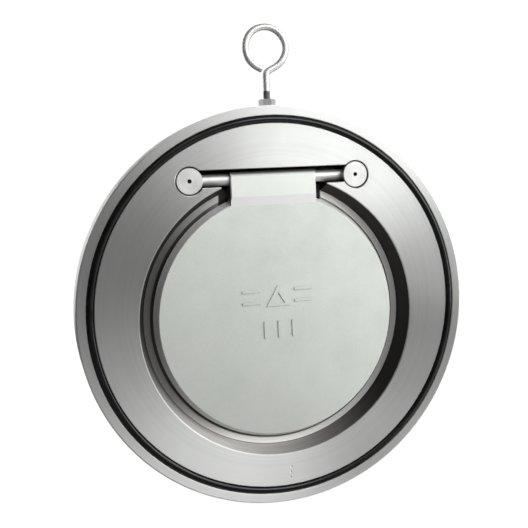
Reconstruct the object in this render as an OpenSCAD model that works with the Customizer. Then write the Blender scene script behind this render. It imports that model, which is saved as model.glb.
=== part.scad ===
// Thin wafer check valve with one swinging disc.
// The pipe axis lies along Y, with the upstream face at y = 0 and the downstream face at -Y.
// The hinge is at the top, +Z. Every part is drawn lying on a bench first, upstream face down:
// X to the right, Y towards the hinge and Z up towards the downstream face. stand() then
// turns it upright. A depth is measured from the downstream face into the body.

/* [Body] */
// Outside diameter, which fits inside the flange bolts
body_d = 273; // [268:1:275]
// Thickness between the two flange faces
body_t = 22; // [21:0.5:24]
// Chamfer on the two outer edges
body_chamfer = 1; // [0.5:0.1:1.5]
// Diameter of the bore that the disc closes
bore_d = 154; // [140:1:156]
// Chamfer where the flow enters the bore
bore_chamfer = 1.5; // [0.5:0.1:3]
// How far the bore and the disc lie below the body's axis
bore_drop = 6; // [5:0.5:7]

/* [Disc recess] */
// Diameter of the flared recess at the downstream face
recess_d = 192.8; // [190:0.2:194]
// Diameter of the flat seat at the bottom of the recess
seat_d = 184.4; // [182:0.2:186]
// Depth of the seat below the downstream face
seat_depth = 13.5; // [13:0.1:14]
// Mean diameter of the relief groove in the seat, round the disc's edge
relief_d = 172; // [171.5:0.1:172.5]
// Width of the relief groove
relief_w = 2.8; // [2:0.1:3]
// Depth of the relief groove
relief_depth = 1.6; // [1:0.1:1.8]
// Small chamfer on the edges cut into the face
edge_break = 0.4; // [0.2:0.1:0.5]

/* [Face seals] */
// Mean diameter of the O-ring groove in each face
groove_d = 254.7; // [253:0.1:255]
// Width of the groove
groove_w = 5.3; // [5.2:0.1:5.6]
// Depth of the groove
groove_depth = 4.1; // [3.8:0.1:4.3]
// Thickness of the O-ring
face_ring_d = 5; // [4.8:0.1:5.1]

/* [Hinge] */
// Height of the hinge axis above the body's axis
hinge_z = 88.35; // [88:0.05:89]
// Depth of the hinge axis below the downstream face
hinge_depth = 9; // [8.9:0.1:9.2]
// Diameter of the hinge pin
pin_d = 8; // [7.5:0.1:8]
// Length of the hinge pin
pin_len = 108; // [106:0.5:108.5]
// Radial running clearance round the pin
pin_clearance = 0.05; // [0.02:0.01:0.08]
// Length of the hinge slot
slot_len = 103; // [102:0.5:104]
// Top edge of the slot above the hinge axis
slot_above = 6.75; // [6.7:0.05:7]
// Bottom edge of the slot below the hinge axis
slot_below = 4.8; // [4.6:0.1:5]
// Width of the pocket that the lug turns in
pocket_w = 74; // [70:0.5:75]
// Depth of the pocket behind the knuckle
pocket_depth = 16.2; // [15.8:0.1:17]

/* [Pin retainers] */
// Distance from the middle to each retainer
retainer_x = 58; // [58:0.1:58.6]
// Diameter of a retainer plate
retainer_d = 17.6; // [17:0.1:18]
// Thickness of a retainer plate
retainer_t = 4.5; // [4.3:0.1:4.5]
// How far a plate lies below the downstream face
retainer_drop = 0.4; // [0.3:0.1:0.5]
// Diameter of the counterbore that a plate sits in
counterbore_d = 19.1; // [18.6:0.1:19.6]
// Thread diameter of the countersunk screw
screw_d = 4; // [3:0.5:4]
// Length of the countersunk screw
screw_len = 14; // [12:0.5:14]

/* [Disc] */
// Diameter of the disc's flat downstream face
disc_face_d = 165.2; // [164:0.2:166]
// Largest diameter of the disc
disc_d = 171; // [170:0.2:172]
// Depth of the disc's downstream face
disc_depth = 4.5; // [4.4:0.1:5]
// Thickness of the disc
disc_t = 8; // [7.5:0.1:8.1]
// Height of the bevel round the disc's edge
disc_bevel = 6.2; // [5:0.1:6.5]
// Width of the hinge lug
lug_w = 60; // [56:0.5:60.5]
// Depth of the lug's flat face
lug_depth = 3; // [2.9:0.1:3.5]
// Radius of the lug's knuckle round the hinge axis
knuckle_r = 6.35; // [6.1:0.05:6.4]
// Height of the knuckle's upper side above the hinge axis
knuckle_above = 4.9; // [4.7:0.05:6]
// Height of the cast marks on the disc
mark_h = 0.6; // [0.3:0.1:0.6]

/* [Seat seal] */
// Mean diameter of the O-ring groove in the disc's back
seat_ring_d = 162; // [161:0.5:163]
// Thickness of the seat O-ring
seat_ring_t = 4; // [3.8:0.1:4]
// Depth of the seat O-ring groove
seat_groove_depth = 3.2; // [3.2:0.1:3.4]

/* [Eye bolt] */
// Diameter of the bent wire
wire_d = 4.6; // [4.4:0.1:4.8]
// Radius of the loop, to the middle of the wire
loop_r = 14; // [13:0.1:15]
// Height of the loop's centre above the body's axis
loop_z = 175.3; // [175:0.1:178]
// Sideways offset of the loop from the shank
loop_offset = 0.5; // [0:0.1:1]
// Radius of the bend between shank and loop
bend_r = 4.3; // [4.2:0.1:4.5]
// Length of the straight free end of the loop
free_end = 4; // [2:0.1:4]
// Thread diameter of the shank
thread_d = 4.9; // [4.8:0.02:5]
// Height of the thread's upper end above the body's axis
thread_top = 147; // [144:0.5:150]
// Size of the lock nut across its flats
nut_af = 10; // [10:0.5:11]
// Height of the lock nut
nut_h = 5; // [4:0.1:6]

/* [Hidden] */
$fn = 96;

steel_turned = [0.74, 0.75, 0.74];
steel_cast = [0.66, 0.67, 0.65];
steel_bright = [0.80, 0.81, 0.80];
rubber_black = [0.06, 0.06, 0.06];

cut = 1;                                        // how far a cutting tool overshoots a face
fit_gap = 0.05;                                 // clearance of a screwed or seated part
face_z = body_t;                                // the downstream face, on the bench
seat_z = face_z - seat_depth;
hinge_y = hinge_z;
pin_z = face_z - hinge_depth;
slot_top = hinge_y + slot_above;
slot_bottom = hinge_y - slot_below;
retainer_top = face_z - retainer_drop;
retainer_floor = retainer_top - retainer_t;
disc_top = face_z - disc_depth;
disc_back = disc_top - disc_t;
lug_top = face_z - lug_depth;
lug_ramp_y = 70.5;                              // where the lug's ramp leaves the disc's face
lug_ramp_w = 6;
pin_end_gap = 0.3;
cradle_end = pin_len / 2 + pin_end_gap;
screw_tip_gap = 1.6;
screw_gap = 0.15;                               // clearance of a screw in its plate
head_d = 2 * screw_d;
head_rim = 0.3;
socket_af = 2.5;
socket_depth = 2;
spot_face_depth = 0.3;
spot_face_y = body_d / 2 - spot_face_depth;
spot_face_d = 15;
nut_turn = -15;                                 // where the lock nut stopped when tightened
bolt_bottom = 124.5;
bolt_hole_bottom = 122.5;
mid_z = body_t / 2;
loop_lean = 62;                                 // the wire's lean where it leaves the circle
drill_point = 118;

// Turns a part from the bench to its upright place
module stand() {
    rotate([90, 0, 0]) children();
}

// Moves a turned shape to the bore's centre line
module on_bore_axis() {
    translate([0, -bore_drop, 0]) children();
}

// Extrudes an outline given in (Y, Z) along X, centred
module bar_along_x(length) {
    rotate([90, 0, 90]) translate([0, 0, -length / 2]) linear_extrude(length) children();
}

// A rod along X on the hinge axis
module hinge_rod(d, length) {
    translate([-length / 2, hinge_y, pin_z]) rotate([0, 90, 0]) cylinder(d = d, h = length);
}

// Rectangle with round corners, as a milling cutter leaves it
module milled_outline(w, h, r) {
    square([w - 2 * r, h], center = true);
    square([w, h - 2 * r], center = true);
    for (sx = [-1, 1], sy = [-1, 1])
        translate([sx * (w / 2 - r), sy * (h / 2 - r)]) circle(r);
}

// The bore, the seat with its relief groove and the flared recess, as one turned cut
module bore_and_recess() {
    bore_r = bore_d / 2;
    seat_r = seat_d / 2;
    rim_r = recess_d / 2;
    relief_inner = (relief_d - relief_w) / 2;
    relief_outer = (relief_d + relief_w) / 2;
    rotate_extrude($fn = 180) polygon([
        [0, -cut],
        [bore_r + bore_chamfer + cut, -cut],
        [bore_r, bore_chamfer],
        [bore_r, seat_z - edge_break],
        [bore_r + edge_break, seat_z],
        [relief_inner, seat_z],
        [relief_inner, seat_z - relief_depth],
        [relief_outer, seat_z - relief_depth],
        [relief_outer, seat_z],
        [seat_r - edge_break, seat_z],
        [seat_r, seat_z + edge_break],
        [rim_r - edge_break / 2, face_z - edge_break],
        [rim_r + edge_break / 2, face_z],
        [rim_r + cut, face_z + cut],
        [0, face_z + cut]
    ]);
}

// Groove for a face O-ring, cut down from z = 0
module face_groove() {
    inner = (groove_d - groove_w) / 2;
    outer = (groove_d + groove_w) / 2;
    rotate_extrude($fn = 180) polygon([
        [inner, -groove_depth],
        [outer, -groove_depth],
        [outer, -edge_break],
        [outer + edge_break, 0],
        [outer + edge_break, cut],
        [inner - edge_break, cut],
        [inner - edge_break, 0],
        [inner, -edge_break]
    ]);
}

// Slot across the face for the hinge pin
module hinge_slot() {
    bar_along_x(slot_len) polygon([
        [slot_bottom, seat_z],
        [slot_bottom, face_z - edge_break],
        [slot_bottom - edge_break - cut, face_z + cut],
        [slot_top + edge_break + cut, face_z + cut],
        [slot_top, face_z - edge_break],
        [slot_top, seat_z]
    ]);
}

// Room for the lug between the slot and the recess, and behind the knuckle
module lug_pocket() {
    corner = 3;
    web_bottom = 79;
    knuckle_bottom = 82;
    translate([-pocket_w / 2, web_bottom, seat_z])
        cube([pocket_w, slot_bottom - web_bottom + cut, seat_depth + cut]);
    translate([0, (slot_top + knuckle_bottom) / 2, face_z - pocket_depth])
        linear_extrude(pocket_depth - seat_depth + cut)
            milled_outline(pocket_w, slot_top - knuckle_bottom, corner);
}

// Open cradle that one end of the pin lies in, under its retainer
module pin_cradle(side) {
    radius = pin_d / 2 + pin_clearance;
    start = slot_len / 2 - cut;
    length = cradle_end - start;
    x0 = side > 0 ? start : -cradle_end;
    translate([x0, hinge_y, pin_z]) rotate([0, 90, 0]) cylinder(r = radius, h = length);
    translate([x0, hinge_y - radius, pin_z])
        cube([length, 2 * radius, retainer_floor - pin_z + edge_break]);
}

// Counterbore and tapped hole of one retainer
module retainer_seat(side) {
    radius = counterbore_d / 2;
    hole_r = screw_d / 2 + fit_gap;
    hole_bottom = retainer_top - screw_len - screw_tip_gap;
    translate([side * retainer_x, hinge_y, 0]) {
        rotate_extrude() polygon([
            [0, retainer_floor],
            [radius, retainer_floor],
            [radius, face_z - edge_break],
            [radius + edge_break, face_z],
            [radius + edge_break, face_z + cut],
            [0, face_z + cut]
        ]);
        translate([0, 0, hole_bottom]) cylinder(r = hole_r, h = retainer_floor - hole_bottom + cut);
        tip_h = hole_r / tan(drill_point / 2);
        translate([0, 0, hole_bottom - tip_h]) cylinder(r1 = 0, r2 = hole_r, h = tip_h);
    }
}

// Tapped hole and spot face for the eye bolt, in the rim at the top
module eye_bolt_seat() {
    hole_r = thread_d / 2 + fit_gap;
    tip_h = hole_r / tan(drill_point / 2);
    translate([0, 0, mid_z]) rotate([-90, 0, 0]) {
        translate([0, 0, bolt_hole_bottom]) cylinder(r = hole_r, h = body_d / 2 - bolt_hole_bottom);
        translate([0, 0, bolt_hole_bottom - tip_h]) cylinder(r1 = 0, r2 = hole_r, h = tip_h);
        translate([0, 0, spot_face_y]) cylinder(d = spot_face_d, h = cut);
    }
}

// Three inspection punch marks near the bottom of the downstream face
module punch_marks() {
    middle_x = 2.5;
    middle_y = -115.5;
    lean = 0.5;
    pitch = 3.6;
    depth = 0.4;
    wide = 1.6;
    for (i = [-1:1])
        translate([middle_x + lean * i, middle_y + pitch * i, face_z - depth])
            cylinder(r1 = 0, r2 = wide, h = 2 * depth);
}

module body() {
    outer = body_d / 2;
    color(steel_turned) stand() difference() {
        rotate_extrude($fn = 180) polygon([
            [0, 0],
            [outer - body_chamfer, 0],
            [outer, body_chamfer],
            [outer, body_t - body_chamfer],
            [outer - body_chamfer, body_t],
            [0, body_t]
        ]);
        on_bore_axis() bore_and_recess();
        translate([0, 0, face_z]) face_groove();
        mirror([0, 0, 1]) face_groove();
        hinge_slot();
        lug_pocket();
        for (side = [-1, 1]) {
            pin_cradle(side);
            retainer_seat(side);
        }
        eye_bolt_seat();
        punch_marks();
    }
}

// The disc's round plate with its bevelled edge
module disc_plate() {
    face_r = disc_face_d / 2;
    rim_r = disc_d / 2;
    corner = 0.5;
    rotate_extrude($fn = 180) polygon([
        [0, disc_back],
        [rim_r - corner, disc_back],
        [rim_r, disc_back + corner],
        [rim_r, disc_top - disc_bevel],
        [face_r + edge_break / 2, disc_top - edge_break],
        [face_r - edge_break / 2, disc_top],
        [0, disc_top]
    ]);
}

// Lug and knuckle that carry the disc on the hinge pin
module hinge_lug() {
    arm_y = 68;
    corner = 0.6;
    flat = 0.3;                                 // cut off the knuckle's back
    half = lug_w / 2;
    intersection() {
        bar_along_x(lug_w) {
            polygon([
                [arm_y, disc_back],
                [hinge_y, disc_back],
                [hinge_y, lug_top],
                [lug_ramp_y + lug_ramp_w, lug_top],
                [lug_ramp_y, disc_top],
                [arm_y, disc_top]
            ]);
            intersection() {
                translate([hinge_y, pin_z]) circle(knuckle_r);
                translate([hinge_y - knuckle_r, pin_z - knuckle_r + flat])
                    square([knuckle_r + knuckle_above, lug_top - pin_z + knuckle_r - flat]);
            }
        }
        // takes the sharp corners off the lug's sides
        translate([0, hinge_y + knuckle_r + cut, 0]) rotate([90, 0, 0])
            linear_extrude(hinge_y + knuckle_r + 2 * cut - arm_y) polygon([
                [-half + corner, pin_z - knuckle_r],
                [half - corner, pin_z - knuckle_r],
                [half, pin_z - knuckle_r + corner],
                [half, lug_top - corner],
                [half - corner, lug_top],
                [-half + corner, lug_top],
                [-half, lug_top - corner],
                [-half, pin_z - knuckle_r + corner]
            ]);
    }
}

// One raised cast bar with round ends
module cast_bar(length, width) {
    square([length, width], center = true);
    for (side = [-1, 1]) translate([side * length / 2, 0]) circle(d = width, $fn = 24);
}

// Upright triangle, height above its base and half the base's length
module triangle(height, half) {
    polygon([[-half, 0], [half, 0], [0, height]]);
}

// Generic cast marks: an arrowhead that points to the hinge, level lines and three bars
module cast_marks() {
    width = 1.8;
    row_y = 8;
    level_gap = 8;
    arrow_h = 14;
    arrow_half = 8.5;
    inner = 0.55;
    line_x = 18.5;
    line_len = 12;
    bar_y = -15;
    bar_pitch = 10;
    bar_len = 10;
    translate([0, 0, disc_top - mark_h]) linear_extrude(2 * mark_h) {
        translate([0, row_y - arrow_h / 2]) difference() {
            triangle(arrow_h, arrow_half);
            translate([0, width]) triangle(arrow_h * inner, arrow_half * inner);
        }
        for (side = [-1, 1], level = [-1, 1])
            translate([side * line_x, row_y + level * level_gap / 2]) cast_bar(line_len, width);
        for (i = [-1:1]) translate([i * bar_pitch, bar_y]) rotate(90) cast_bar(bar_len, width);
    }
}

// Groove in the disc's back for the seat O-ring
module seat_groove() {
    slack = 0.1;
    inner = (seat_ring_d - seat_ring_t) / 2 - slack;
    width = seat_ring_t + 2 * slack;
    rotate_extrude($fn = 180) translate([inner, disc_back - cut]) square([width, seat_groove_depth + cut]);
}

module disc() {
    color(steel_cast) stand() difference() {
        union() {
            on_bore_axis() disc_plate();
            hinge_lug();
            cast_marks();
        }
        hinge_rod(pin_d + 2 * pin_clearance, lug_w + 2 * cut);
        on_bore_axis() seat_groove();
        // lathe centre in the disc's back
        on_bore_axis() translate([0, 0, disc_back - cut]) cylinder(r1 = 2 + cut, r2 = 0, h = 2 + cut);
    }
}

// O-ring of a given mean diameter and thickness
module o_ring(mean_d, thickness) {
    rotate_extrude($fn = 180) translate([mean_d / 2, 0]) circle(d = thickness, $fn = 32);
}

module seat_oring() {
    rise = seat_groove_depth - seat_ring_t / 2;
    color(rubber_black) stand() on_bore_axis()
        translate([0, 0, disc_back + rise - fit_gap]) o_ring(seat_ring_d, seat_ring_t);
}

module downstream_face_oring() {
    rise = groove_depth - face_ring_d / 2;
    color(rubber_black) stand()
        translate([0, 0, face_z - rise + fit_gap]) o_ring(groove_d, face_ring_d);
}

module upstream_face_oring() {
    rise = groove_depth - face_ring_d / 2;
    color(rubber_black) stand()
        translate([0, 0, rise - fit_gap]) o_ring(groove_d, face_ring_d);
}

module hinge_pin() {
    radius = pin_d / 2;
    corner = 0.5;
    color(steel_bright) stand()
        translate([-pin_len / 2, hinge_y, pin_z]) rotate([0, 90, 0]) rotate_extrude() polygon([
            [0, 0],
            [radius - corner, 0],
            [radius, corner],
            [radius, pin_len - corner],
            [radius - corner, pin_len],
            [0, pin_len]
        ]);
}

// Round plate that holds one end of the pin in its cradle
module pin_retainer(side) {
    radius = retainer_d / 2;
    hole_r = screw_d / 2 + screw_gap;
    sink_r = head_d / 2 + fit_gap;
    color(steel_bright) stand() translate([side * retainer_x, hinge_y, 0]) rotate_extrude() polygon([
        [hole_r, retainer_floor],
        [radius - edge_break, retainer_floor],
        [radius, retainer_floor + edge_break],
        [radius, retainer_top - edge_break],
        [radius - edge_break, retainer_top],
        [sink_r, retainer_top],
        [sink_r, retainer_top - head_rim - fit_gap],
        [hole_r, retainer_top - head_rim - fit_gap - (sink_r - hole_r)]
    ]);
}

module pin_retainer_left() {
    pin_retainer(-1);
}

module pin_retainer_right() {
    pin_retainer(1);
}

// Countersunk screw with a hexagon socket
module retainer_screw(side) {
    head_r = head_d / 2;
    shank_r = screw_d / 2;
    tip = 0.6;
    bottom = retainer_top - screw_len;
    color(steel_bright) stand() translate([side * retainer_x, hinge_y, 0]) difference() {
        rotate_extrude() polygon([
            [0, bottom],
            [shank_r - tip, bottom],
            [shank_r, bottom + tip],
            [shank_r, retainer_top - head_rim - (head_r - shank_r)],
            [head_r, retainer_top - head_rim],
            [head_r, retainer_top],
            [0, retainer_top]
        ]);
        translate([0, 0, retainer_top - socket_depth])
            cylinder(r = socket_af / 2 / cos(30), h = socket_depth + cut, $fn = 6);
    }
}

module retainer_screw_left() {
    retainer_screw(-1);
}

module retainer_screw_right() {
    retainer_screw(1);
}

// Short collar that joins two stretches of the wire
module wire_collar() {
    length = 0.8;
    rotate([-90, 0, 0]) translate([0, 0, -length / 2])
        cylinder(r = wire_d / 2 + fit_gap, h = length, $fn = 48);
}

// Straight stretch of the wire, with a small gap left at its start, inside a collar
module wire_rod(length) {
    gap = 0.1;
    rotate([-90, 0, 0]) translate([0, 0, gap]) cylinder(r = wire_d / 2, h = length - gap, $fn = 48);
}

// Curved stretch of the wire round the origin, starting at an angle
module wire_arc(radius, start, turn) {
    rotate(start) rotate_extrude(angle = turn, $fn = 96)
        translate([radius, 0]) circle(wire_d / 2, $fn = 32);
}

// Bent-wire eye bolt: threaded shank, bend and an open drop-shaped loop
module eye_bolt() {
    wire_r = wire_d / 2;
    thread_r = thread_d / 2;
    tip = 0.8;
    gap = 0.1;                                  // between two stretches, inside a collar
    gap_angle = 0.5;
    start = [loop_offset + loop_r * cos(loop_lean), loop_z - loop_r * sin(loop_lean)];
    corner_z = start.y - start.x / tan(loop_lean);
    bend_reach = bend_r * tan(loop_lean / 2);
    bend_end = [bend_reach * sin(loop_lean), corner_z + bend_reach * cos(loop_lean)];
    rise = norm(start - bend_end);
    open_at = [loop_offset - loop_r * cos(loop_lean), start.y];
    color(steel_bright) stand() translate([0, 0, mid_z]) {
        rotate([-90, 0, 0]) rotate_extrude($fn = 48) polygon([
            [0, bolt_bottom],
            [thread_r - tip, bolt_bottom],
            [thread_r, bolt_bottom + tip],
            [thread_r, thread_top - thread_r + wire_r],
            [wire_r, thread_top],
            [wire_r, corner_z - bend_reach - gap],
            [0, corner_z - bend_reach - gap]
        ]);
        translate([0, corner_z - bend_reach]) wire_collar();
        translate([bend_r, corner_z - bend_reach])
            wire_arc(bend_r, 180 - loop_lean, loop_lean);
        translate(bend_end) rotate(-loop_lean) {
            wire_collar();
            wire_rod(rise - gap);
        }
        translate(start) rotate(-loop_lean) wire_collar();
        translate([loop_offset, loop_z])
            wire_arc(loop_r, gap_angle - loop_lean, 180 + 2 * (loop_lean - gap_angle));
        translate(open_at) rotate(180 + loop_lean) {
            wire_collar();
            wire_rod(free_end);
        }
    }
}

// Hexagon lock nut with chamfered corners
module eye_bolt_nut() {
    corner_r = nut_af / 2 / cos(30);
    flat_r = nut_af / 2;
    hole_r = thread_d / 2 + fit_gap;
    chamfer_h = (corner_r - flat_r) * tan(30);
    color(steel_bright) stand() translate([0, spot_face_y, mid_z])
        rotate([-90, 0, 0]) rotate(nut_turn) difference() {
            intersection() {
                cylinder(r = corner_r, h = nut_h, $fn = 6);
                rotate_extrude() polygon([
                    [0, 0],
                    [flat_r, 0],
                    [corner_r, chamfer_h],
                    [corner_r, nut_h - chamfer_h],
                    [flat_r, nut_h],
                    [0, nut_h]
                ]);
            }
            translate([0, 0, -cut]) cylinder(r = hole_r, h = nut_h + 2 * cut);
        }
}

body();
disc();
seat_oring();
hinge_pin();
pin_retainer_left();
pin_retainer_right();
retainer_screw_left();
retainer_screw_right();
downstream_face_oring();
upstream_face_oring();
eye_bolt();
eye_bolt_nut();
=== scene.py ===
import math

import bmesh
import bpy
import numpy as np
from mathutils import Matrix, Vector


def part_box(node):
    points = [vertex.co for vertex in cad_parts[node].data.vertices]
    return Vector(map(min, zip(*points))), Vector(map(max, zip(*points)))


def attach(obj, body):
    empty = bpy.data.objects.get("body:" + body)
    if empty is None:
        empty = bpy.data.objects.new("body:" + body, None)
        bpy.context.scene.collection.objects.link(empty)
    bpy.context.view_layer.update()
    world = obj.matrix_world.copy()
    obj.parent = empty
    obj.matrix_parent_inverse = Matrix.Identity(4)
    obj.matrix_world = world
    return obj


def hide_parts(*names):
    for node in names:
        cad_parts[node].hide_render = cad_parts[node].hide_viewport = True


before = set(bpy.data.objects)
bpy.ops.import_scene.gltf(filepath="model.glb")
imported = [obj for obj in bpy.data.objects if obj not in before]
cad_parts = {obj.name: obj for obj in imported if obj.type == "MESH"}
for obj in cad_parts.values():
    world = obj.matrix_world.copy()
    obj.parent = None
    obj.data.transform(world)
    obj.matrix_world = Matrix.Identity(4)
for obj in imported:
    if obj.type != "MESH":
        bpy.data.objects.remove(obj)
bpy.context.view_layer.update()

MM = 0.001

# ---------------------------------------------------------------- places, in metres
# The pipe's axis is Y, the downstream face is at -Y, and the hinge is at +Z.
BODY_LOW, BODY_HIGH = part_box("body")
LOOP_LOW, LOOP_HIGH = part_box("eye_bolt")
SEAL_LOW, SEAL_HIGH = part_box("seat_oring")
FACE = Vector((0, BODY_LOW.y, 0))  # middle of the downstream face
RIM = BODY_HIGH.x
BORE_DROP = -(SEAL_LOW.z + SEAL_HIGH.z) / 2  # how far the bore and the disc lie below the body's axis
DISC_CENTRE = (0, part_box("disc")[0].y, -BORE_DROP)  # at the depth of the lug's face

# Features that the boxes don't show
BORE_R = 77 * MM
SEAT_R = 92.2 * MM
RECESS_R = 97 * MM  # just outside the lip of the recess
RELIEF = (84.6 * MM, 87.4 * MM)  # inner and outer radius of the groove in the seat
POCKET_HALF = 37 * MM  # half the width of the pocket that the lug turns in
POCKET_Z = 62 * MM  # lower end of the pocket
BEVEL_R = 82 * MM  # where the disc's bevel starts
MARKS_R = 38 * MM  # the cast marks lie inside this
RAMP_Z = (70.5 * MM, 76.5 * MM)  # the slope from the disc's face up to the lug's
KNUCKLE_Z = (89.8 * MM, 92.3 * MM)  # painted shade: the knuckle's upper side is painted darker over this height, as shade under the slot
SOCKET_R = 1.3 * MM

# Where light and shade are painted on the body
PAINTED_LIGHT_FACING = (0.375, 0.0, 0.927)  # painted light and shade: the recess wall is painted bright where it faces this way, as if lit, and painted dark elsewhere, as shade
SEAT_SHADOW_X = (-35 * MM, -75 * MM)  # painted shadow: the seat is painted darker over this stretch, as the disc's shadow
RELIEF_SHADE_FADE = (20 * MM, 60 * MM)  # x + z over which the groove in the seat goes from painted shade to the seat's colour

# ---------------------------------------------------------------- colours
STEEL = (0.655, 0.663, 0.645)
BRIGHT = (0.74, 0.74, 0.725)
PLATE = (0.62, 0.622, 0.61)
OUTER_RIM = (0.93, 0.935, 0.915, 1)
# painted light and shade: the next two are the recess wall's lit side and the near-black shade painted on
# the cut surfaces
PAINTED_LIT_WALL = ((0.38, 0.372, 0.36, 1), (0.50, 0.49, 0.475, 1))
PAINTED_CUT_SHADE = (0.045, 0.043, 0.041, 1)
# the seat painted as lit, and as in shadow
LIT_SEAT = (0.88, 0.875, 0.85, 1)
SHADED_SEAT = (0.42, 0.415, 0.40, 1)
# painted shade for the hole in the screws' middle
PAINTED_HOLE_SHADE = (0.03, 0.03, 0.03, 1)
CAST = ((0.606, 0.632, 0.597, 1), (0.706, 0.732, 0.696, 1))
SMOOTH_CAST = ((0.70, 0.727, 0.693, 1), (0.78, 0.805, 0.77, 1))
# painted light on the ramp and the bevel
PAINTED_RAMP_LIGHT = (0.97, 0.98, 0.965, 1)
PAINTED_BEVEL_LIGHT = (0.93, 0.93, 0.91, 1)
CAST_SHADE = (0.12, 0.117, 0.112, 1)
RUBBER = ((0.004, 0.004, 0.0045, 1), (0.012, 0.012, 0.013, 1))
THREAD = (0.20, 0.197, 0.19, 1)
WIRE_TONES = (0.60, 0.70)
NUT_TONES = (0.40, 0.50)


# ---------------------------------------------------------------- material building
class Material:
    """A procedural material: one Principled shader and the nodes that feed it."""

    def __init__(self, name, **constants):
        self.material = bpy.data.materials.new(name)
        self.material.use_nodes = True
        self.tree = self.material.node_tree
        self.shader = self.tree.nodes["Principled BSDF"]
        for socket, value in constants.items():
            self.shader.inputs[socket.replace("_", " ")].default_value = value
        coordinates = self.tree.nodes.new("ShaderNodeTexCoord")
        self.place = coordinates.outputs["Object"]
        self.facing = coordinates.outputs["Normal"]

    def node(self, kind, inputs, **settings):
        made = self.tree.nodes.new("ShaderNode" + kind)
        for key, value in settings.items():
            setattr(made, key, value)
        for key, value in inputs.items():
            self.feed(made.inputs[key], value)
        return made

    def feed(self, socket, value):
        if isinstance(value, bpy.types.NodeSocket):
            self.tree.links.new(value, socket)
        else:
            socket.default_value = value

    def set(self, socket, value):
        self.feed(self.shader.inputs[socket], value)

    def math(self, operation, *values):
        return self.node("Math", dict(enumerate(values)), operation=operation).outputs[0]

    def times(self, first, *others):
        for other in others:
            first = self.math("MULTIPLY", first, other)
        return first

    def plus(self, first, *others):
        for other in others:
            first = self.math("ADD", first, other)
        return first

    def rest_of(self, share):
        return self.math("SUBTRACT", 1.0, share)

    def absolute(self, value):
        return self.math("ABSOLUTE", value)

    def vector(self, operation, *values):
        return self.node("VectorMath", dict(enumerate(values)), operation=operation).outputs["Vector"]

    def length(self, vector):
        return self.node("VectorMath", {0: vector}, operation="LENGTH").outputs["Value"]

    def dot(self, first, second):
        return self.node("VectorMath", {0: first, 1: second}, operation="DOT_PRODUCT").outputs["Value"]

    def split(self, vector):
        return self.node("SeparateXYZ", {0: vector}).outputs

    def join(self, x, y, z):
        return self.node("CombineXYZ", {0: x, 1: y, 2: z}).outputs[0]

    def noise(self, vector, scale, detail, rough):
        """Noise round 0.5. scale: its blotches in a metre."""
        inputs = {"Vector": vector, "Scale": scale, "Detail": detail, "Roughness": rough}
        return self.node("TexNoise", inputs).outputs[0]

    def remap(self, value, low, high, to_low=0.0, to_high=1.0):
        """Goes from to_low to to_high while the value goes from low to high, and no further."""
        inputs = {0: value, 1: low, 2: high, 3: to_low, 4: to_high}
        return self.node("MapRange", inputs, clamp=True).outputs[0]

    def rises(self, value, start, width):
        """0 up to the start, and 1 from the start plus the width."""
        return self.remap(value, start, start + width)

    def falls(self, value, start, width):
        """1 up to the start, and 0 from the start plus the width."""
        return self.remap(value, start + width, start)

    def stretch(self, noise, reach, around=0.2):
        """Stretches noise to run from -reach to reach."""
        return self.remap(noise, 0.5 - around, 0.5 + around, -reach, reach)

    def blend(self, share, first, second):
        """Mixes two colours."""
        made = self.node("Mix", {}, data_type="RGBA")
        for place, value in zip((0, 6, 7), (share, first, second)):
            self.feed(made.inputs[place], value)
        return made.outputs[2]

    def between(self, share, first, second):
        """Mixes two numbers."""
        made = self.node("Mix", {}, data_type="FLOAT")
        for place, value in zip((0, 2, 3), (share, first, second)):
            self.feed(made.inputs[place], value)
        return made.outputs[0]

    def bump(self, height, depth):
        inputs = {"Height": height, "Distance": depth, "Strength": 1.0}
        return self.node("Bump", inputs).outputs[0]


# ---------------------------------------------------------------- materials
ACROSS = {"X": (0, 1, 1), "Y": (1, 0, 1), "Z": (1, 1, 0)}  # keeps what lies across a lathe's axis
RINGS_ALONG = 0.83  # how close the rings on a cylinder's side are, against those on its end
ROUND_RINGS = 0.0006  # how little the marks change on the way round


def ring_place(m, axis, centre):
    """A place that runs across lathe marks in its x, and slowly round them in y and z, and the radius."""
    flat = m.vector("MULTIPLY", m.vector("SUBTRACT", m.place, tuple(centre)), ACROSS[axis])
    radius = m.length(flat)
    along = m.split(m.place)["XYZ".index(axis)]
    direction = m.split(m.vector("NORMALIZE", flat))
    round_it = [m.times(direction[i], ROUND_RINGS) for i in range(3) if ACROSS[axis][i]]
    return m.join(m.plus(radius, m.times(along, RINGS_ALONG)), *round_it), radius


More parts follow.
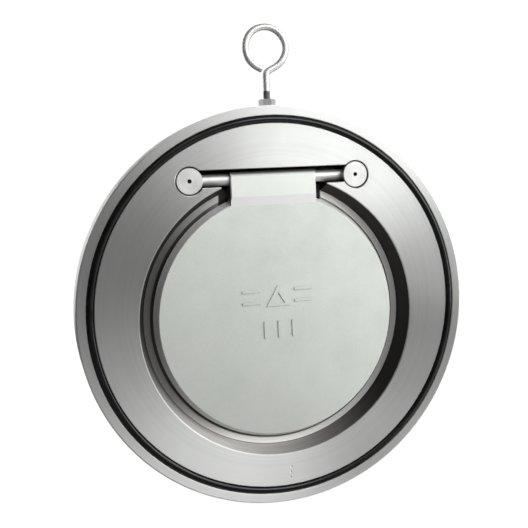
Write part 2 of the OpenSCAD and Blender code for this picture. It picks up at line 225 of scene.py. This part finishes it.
def turned(name, axis, centre, colour, rough, spread, gloss,
           mark=0.004 * MM, metal=1.0, cuts=None, socket=0.0):
    """Lathe-turned steel: fine rings round an axis, and a sheen drawn out across them.

    rough and spread are the middle and the reach of the roughness, gloss says how far the sheen is
    drawn out, and mark is the depth of the rings. cuts finds the body's surfaces, and socket is the
    radius of a hole in the middle, painted dark as shade.
    """
    m = Material(name, Metallic=metal, Anisotropic=gloss, Anisotropic_Rotation=0.25)
    place, radius = ring_place(m, axis, centre)
    fine = m.noise(place, 2600, 2.0, 0.6)
    broad = m.noise(place, 320, 2.0, 0.5)
    cloud = m.noise(m.place, 22, 3.0, 0.6)
    grain = m.noise(m.place, 1500, 1.0, 0.5)
    tone = m.plus(m.stretch(broad, 0.3, around=0.15), m.stretch(cloud, 0.4), m.stretch(fine, 0.3))
    uneven = m.plus(tone, m.stretch(grain, 0.3))
    dark = tuple(c * 0.94 for c in colour) + (1,)
    light = tuple(min(1, c * 1.05) for c in colour) + (1,)
    shade = m.blend(m.remap(tone, -0.8, 0.8), dark, light)
    roughness = m.remap(uneven, -1, 1, rough + spread, rough - spread)
    if cuts is not None:
        cut, painted_lit_wall, seat, rim = cuts(m)
        shade = m.blend(rim, shade, OUTER_RIM)
        # painted shadow on the seat's left side, and painted light elsewhere on it
        seat_shadow = m.remap(m.split(m.place)[0], *SEAT_SHADOW_X)
        shade = m.blend(seat, shade, m.blend(seat_shadow, LIT_SEAT, SHADED_SEAT))
        # painted shade on the cut surfaces, and painted light on the recess wall where it faces the key
        # light
        painted_cut_shading = m.blend(painted_lit_wall, PAINTED_CUT_SHADE, m.blend(m.remap(uneven, -1, 1), *PAINTED_LIT_WALL))
        shade = m.blend(cut, shade, painted_cut_shading)
        roughness = m.between(cut, roughness, m.remap(uneven, -1, 1, 0.54, 0.46))
    # painted shade: the hole in the screw's middle is painted dark
    if socket:
        shade = m.blend(m.falls(radius, socket, 0.2 * MM), shade, PAINTED_HOLE_SHADE)
    m.set("Base Color", shade)
    m.set("Roughness", roughness)
    m.set("Tangent", m.node("Tangent", {}, direction_type="RADIAL", axis=axis).outputs[0])
    m.set("Normal", m.bump(m.plus(fine, m.times(broad, 0.8)), mark))
    return m


def body_cuts(m):
    """Finds the body's surfaces, as four shares: cut walls, the recess wall's side painted as lit, seat and
    outer rim.
    """
    x, y, z = m.split(m.place)
    from_axis = m.length(m.join(x, 0.0, z))
    from_bore = m.length(m.join(x, 0.0, m.plus(z, BORE_DROP)))
    depth = m.math("MINIMUM", m.math("SUBTRACT", y, BODY_LOW.y), m.math("SUBTRACT", BODY_HIGH.y, y))
    cut = m.times(m.rises(depth, 0.5 * MM, 0.5 * MM),
                  m.falls(from_axis, RIM - 2.5 * MM, 0.5 * MM),
                  m.rises(from_bore, BORE_R + 0.8 * MM, 0.4 * MM))
    in_pocket = m.times(m.falls(m.absolute(x), POCKET_HALF - 1 * MM, 1 * MM), m.rises(z, POCKET_Z, 2 * MM))

    level = m.remap(m.absolute(m.split(m.facing)[1]), 0.8, 0.95)
    seat = m.times(level, m.falls(from_bore, SEAT_R + 0.2 * MM, 0.4 * MM), m.rest_of(in_pocket))
    in_relief = m.times(m.rises(from_bore, RELIEF[0] - 0.2 * MM, 0.2 * MM),
                        m.falls(from_bore, RELIEF[1], 0.2 * MM))
    # painted shade in the groove in the seat, fading out towards the upper right
    painted_shade = m.remap(m.plus(x, z), *RELIEF_SHADE_FADE, 0.8, 0.0)
    seat = m.times(seat, m.rest_of(m.times(in_relief, painted_shade)))

    # painted light: the recess wall is bright where it faces the key light
    lit_facing = m.math("POWER", m.remap(m.dot(m.facing, PAINTED_LIGHT_FACING), 0.2, 0.96), 2.0)
    painted_lit_wall = m.times(m.falls(from_bore, RECESS_R, 0.4 * MM), lit_facing, m.rest_of(in_pocket))
    rim = m.rises(from_axis, RIM - 1.1 * MM, 0.3 * MM)
    return m.times(cut, m.rest_of(seat)), painted_lit_wall, m.times(cut, seat), rim


def cast_disc():
    """Blasted casting, with a smooth machined lug and a turned back."""
    m = Material("cast_steel", Metallic=0.55)
    z = m.split(m.place)[2]
    facing_x, facing_y, facing_z = m.split(m.facing)
    grain = m.noise(m.place, 1700, 3.0, 0.65)
    pits = m.noise(m.place, 620, 2.0, 0.5)
    cloud = m.noise(m.place, 38, 4.0, 0.6)
    rings = m.noise(ring_place(m, "Y", DISC_CENTRE)[0], 1900, 2.0, 0.6)
    lug = m.remap(z, *RAMP_Z)
    back = m.remap(facing_y, 0.5, 0.9)
    smooth = m.math("MAXIMUM", lug, back)
    tone = m.plus(m.stretch(grain, 0.5), m.stretch(cloud, 0.6))
    share = m.remap(tone, -1, 1)
    shade = m.blend(smooth, m.blend(share, *CAST), m.blend(share, *SMOOTH_CAST))

    # painted light: the ramp and the bevel are painted brighter, as if they catch the light
    slope = m.times(m.remap(facing_z, -0.12, -0.2), m.remap(facing_y, -0.8, -0.9))
    on_ramp = m.times(slope, m.rises(z, RAMP_Z[0] - 0.4 * MM, 0.4 * MM), m.falls(z, RAMP_Z[1], 0.4 * MM))
    shade = m.blend(on_ramp, shade, PAINTED_RAMP_LIGHT)
    from_centre = m.length(m.vector("SUBTRACT", m.place, DISC_CENTRE))
    bevel = m.times(m.remap(facing_y, -0.9, -0.8), m.rises(from_centre, BEVEL_R - 1 * MM, 1 * MM))
    shade = m.blend(m.times(bevel, m.rest_of(back)), shade, PAINTED_BEVEL_LIGHT)

    # painted shade on the lug's sides, on top of its knuckle under the slot and round the cast marks
    lug_side = m.times(lug, m.remap(m.absolute(facing_x), 0.8, 0.95))
    knuckle = m.remap(z, *KNUCKLE_Z, 0.0, 0.97)
    steep = m.remap(m.absolute(facing_y), 0.6, 0.3)
    mark_edge = m.times(steep, m.falls(m.length(m.place), MARKS_R, 1 * MM), 0.85)
    painted_shade = m.math("MAXIMUM", m.math("MAXIMUM", lug_side, knuckle), mark_edge)
    m.set("Base Color", m.blend(painted_shade, shade, CAST_SHADE))

    m.set("Roughness", m.between(smooth, m.remap(tone, -1, 1, 0.66, 0.52), m.remap(tone, -1, 1, 0.60, 0.50)))
    blasted = m.times(m.plus(grain, m.times(pits, 1.5)), m.remap(smooth, 0, 1, 1.0, 0.12))
    m.set("Normal", m.bump(m.plus(blasted, m.times(rings, back, 0.3)), 0.03 * MM))
    return m


def rubber(name):
    m = Material(name, Specular_IOR_Level=0.28)
    dust = m.noise(m.place, 90, 4.0, 0.6)
    grain = m.noise(m.place, 2400, 2.0, 0.6)
    m.set("Base Color", m.blend(m.remap(dust, 0.4, 0.75), *RUBBER))
    m.set("Roughness", m.remap(grain, 0.3, 0.7, 0.14, 0.20))
    m.set("Normal", m.bump(grain, 0.003 * MM))
    return m


def wire(name, dark, light, threaded=False):
    """Drawn steel wire, with streaks along Z. threaded: darker below THREAD_TOP."""
    m = Material(name, Metallic=0.55)
    cloud = m.noise(m.place, 120, 3.0, 0.6)
    fine = m.noise(m.vector("MULTIPLY", m.place, (1, 1, 0.12)), 2200, 2.0, 0.5)
    tone = m.plus(m.stretch(cloud, 0.5), m.stretch(fine, 0.4))
    tints = [(grey, grey, grey * 0.99, 1) for grey in (dark, light)]
    shade = m.blend(m.remap(tone, -1, 1), *tints)
    if threaded:
        shade = m.blend(m.falls(m.split(m.place)[2], THREAD_TOP - 0.8 * MM, 0.8 * MM), shade, THREAD)
    m.set("Base Color", shade)
    m.set("Roughness", m.remap(tone, -1, 1, 0.48, 0.38))
    m.set("Normal", m.bump(fine, 0.0008 * MM))
    return m


# ---------------------------------------------------------------- eye bolt's sizes
WIRE_R = 2.3 * MM
THREAD_R = 2.45 * MM
THREAD_ROOT = 2.02 * MM
THREAD_TOP = 147 * MM
PITCH = 0.8 * MM
CREST = 0.12  # flat crest and sloping flank, as shares of half the pitch
FLANK = 0.78
RUNOUT = 0.9 * MM  # the thread fades into the plain wire over this length
POINT = (0.8 * MM, 0.6 * MM)  # length and depth of the chamfer at the thread's end
LOOP_R = 14 * MM
BEND_R = 4.3 * MM
FREE_END = 4 * MM
LEAN = math.radians(62)  # the wire's lean where it leaves the loop's circle
END_TAPER = ((0, 1), (0.3, 1), (0.6, 1), (0.9, 1), (0.955, 1), (0.98, 0.97), (0.995, 0.91), (1, 0.84))
ROWS_PER_PITCH = 14
STRAIGHT_ROWS = 8
BEND_ROWS = 14
LOOP_ROWS = 120
SIDES = 40


# ---------------------------------------------------------------- CAD nodes
def dress(node, m):
    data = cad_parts[node].data
    data.materials.clear()
    data.materials.append(m.material)


def middle_of(node):
    low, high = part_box(node)
    return (low + high) / 2


dress("body", turned("turned_steel", "Y", (0, 0, 0), STEEL, 0.52, 0.02, gloss=0.9,
                     mark=0.0004 * MM, cuts=body_cuts))
dress("disc", cast_disc())
dress("hinge_pin", turned("pin_steel", "X", middle_of("hinge_pin"), BRIGHT, 0.58, 0.05, gloss=0.2,
                          mark=0.001 * MM, metal=0.8))
for side in ("left", "right"):
    middle = middle_of("pin_retainer_" + side)
    dress("pin_retainer_" + side,
          turned("retainer_steel_" + side, "Y", middle, PLATE, 0.55, 0.05, gloss=0.25))
    dress("retainer_screw_" + side,
          turned("screw_steel_" + side, "Y", middle, PLATE, 0.50, 0.05, gloss=0.2, socket=SOCKET_R))
seal = rubber("seal_rubber")
for ring in ("seat_oring", "downstream_face_oring", "upstream_face_oring"):
    dress(ring, seal)
wire_steel = wire("wire_steel", *WIRE_TONES, threaded=True)
dress("eye_bolt_nut", wire("nut_steel", *NUT_TONES))


# ---------------------------------------------------------------- eye bolt with a real thread
def placed(name, mesh, material):
    """Turns a finished bmesh into an object of the scene."""
    data = bpy.data.meshes.new(name)
    mesh.to_mesh(data)
    mesh.free()
    data.materials.append(material)
    made = bpy.data.objects.new(name, data)
    bpy.context.scene.collection.objects.link(made)
    return made


def thread_radius(z, turn, bottom):
    """Radius of the rolled thread at a height and an angle in turns."""
    phase = (z / PITCH - turn) % 1.0
    crest = 1 - min(1.0, max(0.0, abs(phase - 0.5) * 2 - CREST) / FLANK)
    full = THREAD_ROOT + (THREAD_R - THREAD_ROOT) * crest
    runout = min(1.0, max(0.0, (THREAD_TOP - z) / RUNOUT))
    point = min(1.0, (z - bottom) / POINT[0])
    return min(WIRE_R * (1 - runout) + full * runout, THREAD_R - POINT[1] * (1 - point))


def wire_path():
    """The wire's middle line: x, z, lean from +Z towards +X, and radius, or None in the thread."""
    centre_x = LOOP_HIGH.x - LOOP_R - WIRE_R
    centre_z = LOOP_HIGH.z - LOOP_R - WIRE_R
    start_x = centre_x + LOOP_R * math.cos(LEAN)
    start_z = centre_z - LOOP_R * math.sin(LEAN)
    corner_z = start_z - start_x / math.tan(LEAN)
    reach = BEND_R * math.tan(LEAN / 2)
    bend_z = corner_z - reach
    end_x = reach * math.sin(LEAN)
    end_z = corner_z + reach * math.cos(LEAN)

    # the thread, then the plain shank
    thread_z = np.arange(LOOP_LOW.z, THREAD_TOP + 0.5 * MM, PITCH / ROWS_PER_PITCH)
    line = [(0.0, z, 0.0, None) for z in thread_z]
    line += [(0.0, z, 0.0, WIRE_R) for z in np.linspace(THREAD_TOP + 0.7 * MM, bend_z, STRAIGHT_ROWS)[:-1]]

    # the bend, and the straight stretch up to the circle
    for a in np.linspace(0, LEAN, BEND_ROWS)[:-1]:
        line.append((BEND_R * (1 - math.cos(a)), bend_z + BEND_R * math.sin(a), a, WIRE_R))
    for t in np.linspace(0, 1, STRAIGHT_ROWS)[:-1]:
        line.append((end_x + (start_x - end_x) * t, end_z + (start_z - end_z) * t, LEAN, WIRE_R))

    # the loop, and its free end
    for a in np.linspace(-LEAN, math.pi + LEAN, LOOP_ROWS)[:-1]:
        line.append((centre_x + LOOP_R * math.cos(a), centre_z + LOOP_R * math.sin(a), -a, WIRE_R))
    open_x = centre_x - LOOP_R * math.cos(LEAN)
    for t, share in END_TAPER:
        along = FREE_END * t
        line.append((open_x + along * math.sin(LEAN), start_z - along * math.cos(LEAN),
                     -math.pi - LEAN, WIRE_R * share))
    return line


def eye_bolt():
    mid_y = (LOOP_LOW.y + LOOP_HIGH.y) / 2
    mesh = bmesh.new()
    rows = []
    for x, z, lean, radius in wire_path():
        row = []
        for i in range(SIDES):
            turn = 2 * math.pi * i / SIDES
            r = thread_radius(z, i / SIDES, LOOP_LOW.z) if radius is None else radius
            across = r * math.cos(turn)
            place = (x + across * math.cos(lean), mid_y + r * math.sin(turn), z - across * math.sin(lean))
            row.append(mesh.verts.new(place))
        rows.append(row)
    for one, two in zip(rows, rows[1:]):
        for i in range(SIDES):
            j = (i + 1) % SIDES
            mesh.faces.new((one[i], one[j], two[j], two[i]))
    mesh.faces.new(rows[0][::-1])
    mesh.faces.new(rows[-1])
    bmesh.ops.recalc_face_normals(mesh, faces=mesh.faces)
    for face in mesh.faces:
        face.smooth = True
    return placed("eye_bolt_threaded", mesh, wire_steel.material)


bolt = eye_bolt()
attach(bolt, "valve_body")
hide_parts("eye_bolt")

# ---------------------------------------------------------------- camera
LENS = 56.4
SENSOR = 36
CAMERA_PLACE = (-16.7, 8.92, 0.5642)  # azimuth, elevation and distance, from the middle of the face
CAMERA_AIM = (-0.01027, 0, 0.03087)  # from the middle of the face
CAMERA_ROLL = -2.57


def look(position, aim, roll):
    """Stands at a position, looks at the aim and rolls to the side."""
    forward = (aim - position).normalized()
    level = forward.cross(Vector((0, 0, 1))).normalized()
    over = level.cross(forward)
    turn = math.radians(roll)
    right = math.cos(turn) * level + math.sin(turn) * over
    up = -math.sin(turn) * level + math.cos(turn) * over
    matrix = Matrix((right, up, -forward)).transposed().to_4x4()
    matrix.translation = position
    return matrix


def away(azimuth, elevation, distance):
    a, e = math.radians(azimuth), math.radians(elevation)
    return Vector((math.sin(a) * math.cos(e), -math.cos(a) * math.cos(e), math.sin(e))) * distance


lens = bpy.data.cameras.new("camera")
lens.lens = LENS
lens.sensor_width = SENSOR
camera = bpy.data.objects.new("camera", lens)
bpy.context.scene.collection.objects.link(camera)
camera.matrix_world = look(FACE + away(*CAMERA_PLACE), FACE + Vector(CAMERA_AIM), CAMERA_ROLL)
bpy.context.scene.camera = camera

# ---------------------------------------------------------------- stage
BACKDROP_R = 3.0
BACKDROP_GLOW = 1.05
FLOOR_Z = BODY_LOW.z - 0.2 * MM
CAMERA_ONLY = ("diffuse", "glossy", "transmission", "shadow")  # the rays that don't see it
GLOSSY_ONLY = ("camera", "diffuse", "transmission", "shadow")


def glow(name, strength):
    """Plain white light, as a material."""
    material = bpy.data.materials.new(name)
    material.use_nodes = True
    tree = material.node_tree
    tree.nodes.clear()
    light = tree.nodes.new("ShaderNodeEmission")
    light.inputs["Color"].default_value = (1, 1, 1, 1)
    light.inputs["Strength"].default_value = strength
    output = tree.nodes.new("ShaderNodeOutputMaterial")
    tree.links.new(light.outputs[0], output.inputs["Surface"])
    return material


def staged(name, mesh, material, unseen_by):
    """Something round the valve, which some kinds of light ray don't see."""
    made = placed(name, mesh, material)
    for ray in unseen_by:
        setattr(made, "visible_" + ray, False)


def floor_disc(name, x, y, z, radius, material, unseen_by):
    mesh = bmesh.new()
    place = Matrix.Translation((x, y, z))
    bmesh.ops.create_circle(mesh, cap_ends=True, segments=96, radius=radius, matrix=place)
    staged(name, mesh, material, unseen_by)


dome = bmesh.new()
bmesh.ops.create_icosphere(dome, subdivisions=4, radius=BACKDROP_R)
staged("backdrop", dome, glow("backdrop", BACKDROP_GLOW), (*CAMERA_ONLY, "volume_scatter"))

# a white floor that the camera sees, and two bright patches that only the steel's sheen sees
floor_look = Material("floor", Roughness=0.9, Specular_IOR_Level=0.1)
floor_look.set("Base Color", (0.08, 0.08, 0.08, 1))
floor_look.set("Emission Color", (1, 1, 1, 1))
floor_look.set("Emission Strength", 0.97)
floor_disc("floor", 0, 0, FLOOR_Z, 0.26, floor_look.material, CAMERA_ONLY)
floor_disc("floor_bounce", 0.35, -0.4, FLOOR_Z - 0.2 * MM, 0.9, glow("bounce", 0.26), GLOSSY_ONLY)
floor_disc("floor_sheen", 0.30, -0.22, FLOOR_Z - 0.1 * MM, 0.24, glow("sheen", 1.0), GLOSSY_ONLY)

# ---------------------------------------------------------------- light
LIGHTS = (  # name, then azimuth, elevation and distance, then width and height, then watts
    ("key", (37, 26, 1.3), (1.1, 0.9), 14.3),
    ("fill", (3, 36, 1.3), (0.9, 0.8), 3.5),
    ("side", (72, 12, 0.75), (0.5, 0.6), 2.7),
    ("back", (150, 38, 1.3), (1.1, 0.9), 12),
    ("left_back", (-150, 13, 1.5), (2.2, 1.2), 16),
)
WORLD_GLOW = 0.03

for name, place, (width, height), watts in LIGHTS:
    data = bpy.data.lights.new(name, "AREA")
    data.shape = "RECTANGLE"
    data.size, data.size_y = width, height
    data.energy = watts
    softbox = bpy.data.objects.new(name, data)
    softbox.matrix_world = look(away(*place), Vector((0, 0, 0)), 0)
    softbox.visible_camera = False
    bpy.context.scene.collection.objects.link(softbox)

world = bpy.data.worlds.new("world")
world.use_nodes = True
world.node_tree.nodes["Background"].inputs["Color"].default_value = (1, 1, 1, 1)
world.node_tree.nodes["Background"].inputs["Strength"].default_value = WORLD_GLOW
bpy.context.scene.world = world
bpy.context.scene.view_settings.view_transform = "Standard"
